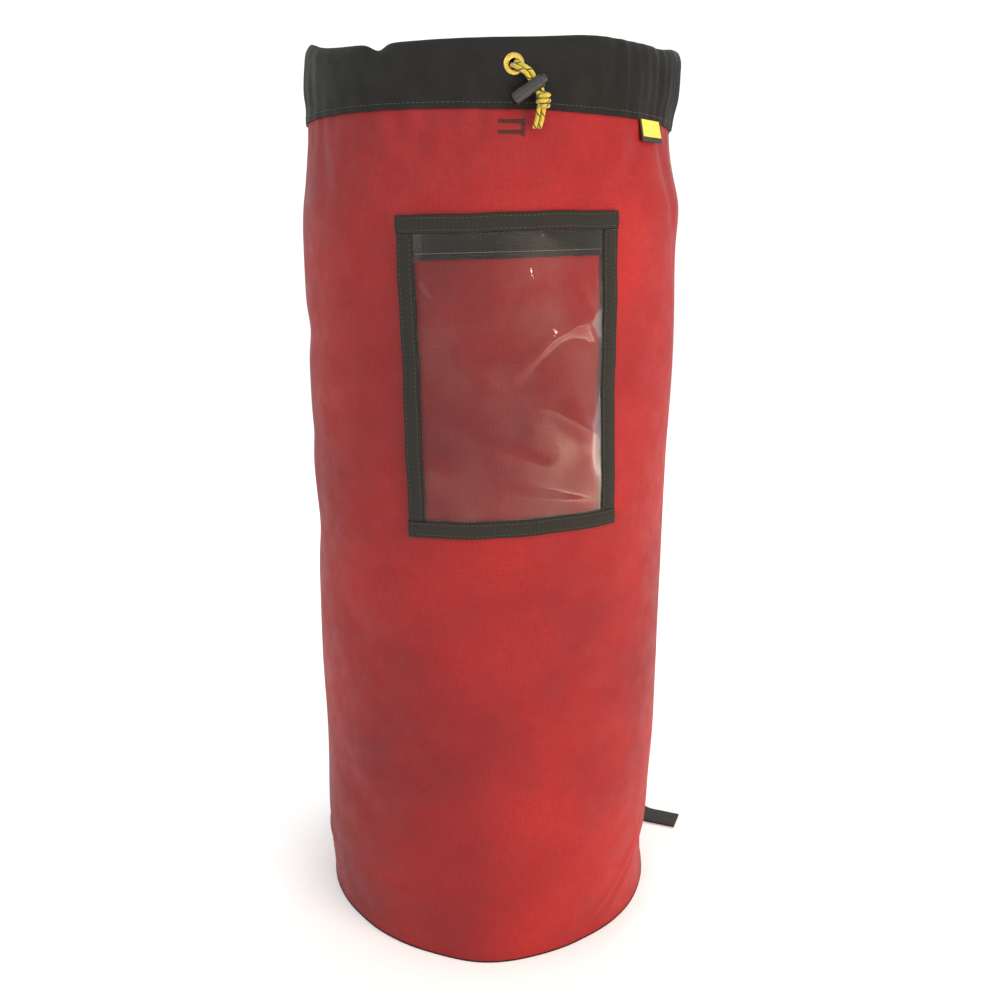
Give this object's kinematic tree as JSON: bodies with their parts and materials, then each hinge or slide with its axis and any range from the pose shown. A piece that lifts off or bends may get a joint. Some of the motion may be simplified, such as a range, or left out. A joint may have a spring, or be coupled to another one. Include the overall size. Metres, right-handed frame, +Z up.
{
  "type": "rope storage bag",
  "caption": "Tall cylindrical rope bag of coated fabric with a drawstring collar, a clear document pocket, shoulder straps on the back and a haul loop.",
  "frame": {"origin": "centre of the base panel's underside, on the surface that the bag stands on", "axes": "+Z up the bag to its mouth; -Y out of the front, which has the document pocket and the drawcord; +X to the right seen from the front"},
  "size_m": [0.355, 0.3367, 0.717],
  "materials": {
    "red_fabric": "red coated woven fabric, slight sheen",
    "black_fabric": "black coated woven fabric",
    "black_binding": "black ribbed binding tape",
    "black_webbing": "black woven webbing",
    "strap_pad": "black padded fabric",
    "hook_and_loop": "black hook and loop tape",
    "clear_vinyl": "clear flexible vinyl, crinkled",
    "brass": "polished brass",
    "drawcord": "yellow braided cord with dark tracers",
    "label": "yellow woven label with a black edge",
    "lock_plastic": "black moulded plastic",
    "buckle_plastic": "black acetal",
    "spring_steel": "bright spring wire"
  },
  "bodies": {
    "bag": {"body_panel": "red_fabric", "base_panel": "black_fabric", "base_seam_tape": "black_webbing", "collar": "black_fabric", "cord_grommet_face": "brass", "cord_grommet_washer": "brass", "drain_grommet_face": "brass", "drain_grommet_washer": "brass", "drawcord_loop": "drawcord", "drawcord_strand_left": "drawcord", "drawcord_strand_right": "drawcord", "drawcord_tail_left": "drawcord", "drawcord_tail_right": "drawcord", "drawcord_knot": "drawcord", "pocket_window": "clear_vinyl", "pocket_binding_top": "black_binding", "pocket_binding_bottom": "black_binding", "pocket_binding_left": "black_binding", "pocket_binding_right": "black_binding", "pocket_loop_strip": "hook_and_loop", "pocket_hook_strip": "hook_and_loop", "rope_tie_loop": "black_webbing", "spine_webbing": "black_webbing", "strap_yoke": "black_fabric", "shoulder_pad_left": "strap_pad", "shoulder_pad_right": "strap_pad", "buckle_loop_left": "black_webbing", "buckle_loop_right": "black_webbing", "lower_strap_left": "black_webbing", "lower_strap_right": "black_webbing", "strap_tail_left": "black_webbing", "strap_tail_right": "black_webbing"},
    "cord_lock": {"cord_lock_barrel": "lock_plastic", "cord_lock_spring": "spring_steel"},
    "cord_lock_button": {"cord_lock_plunger": "lock_plastic"},
    "label": {"side_label": "label"},
    "haul_loop": {"haul_loop": "black_webbing"},
    "ladder_lock_left": {"ladder_lock_left": "buckle_plastic", "strap_fold_left": "black_webbing"},
    "ladder_lock_right": {"ladder_lock_right": "buckle_plastic", "strap_fold_right": "black_webbing"}
  },
  "joints": [
    {"name": "cord_lock_slide", "type": "slide", "parent": "bag", "child": "cord_lock", "axis": [0.5592, 0, -0.829], "range_m": [-0.0045, 0]},
    {"name": "cord_lock_press", "type": "slide", "parent": "cord_lock", "child": "cord_lock_button", "axis": [-0.829, 0, -0.5592], "range_m": [0, 0.0032], "stiffness_N_per_m": 1000, "springref_m": -0.004, "deforming": ["cord_lock_spring"]},
    {"name": "label_flap", "type": "hinge", "parent": "bag", "child": "label", "pos_m": [0.10582, -0.10218, 0.6677], "axis": [-0.6947, -0.7193, 0], "range_deg": [0, 110]},
    {"name": "haul_loop_swing", "type": "hinge", "parent": "bag", "child": "haul_loop", "pos_m": [0, 0.14879, 0.6654], "axis": [1, 0, 0], "range_deg": [0, 130]},
    {"name": "ladder_lock_left_tilt", "type": "hinge", "parent": "bag", "child": "ladder_lock_left", "pos_m": [-0.13683, 0.10774, 0.13], "axis": [0.6245, 0.7532, -0.2066], "range_deg": [0, 28]},
    {"name": "ladder_lock_right_tilt", "type": "hinge", "parent": "bag", "child": "ladder_lock_right", "pos_m": [0.13683, 0.10774, 0.13], "axis": [0.6245, -0.7532, 0.2066], "range_deg": [0, 28]}
  ]
}
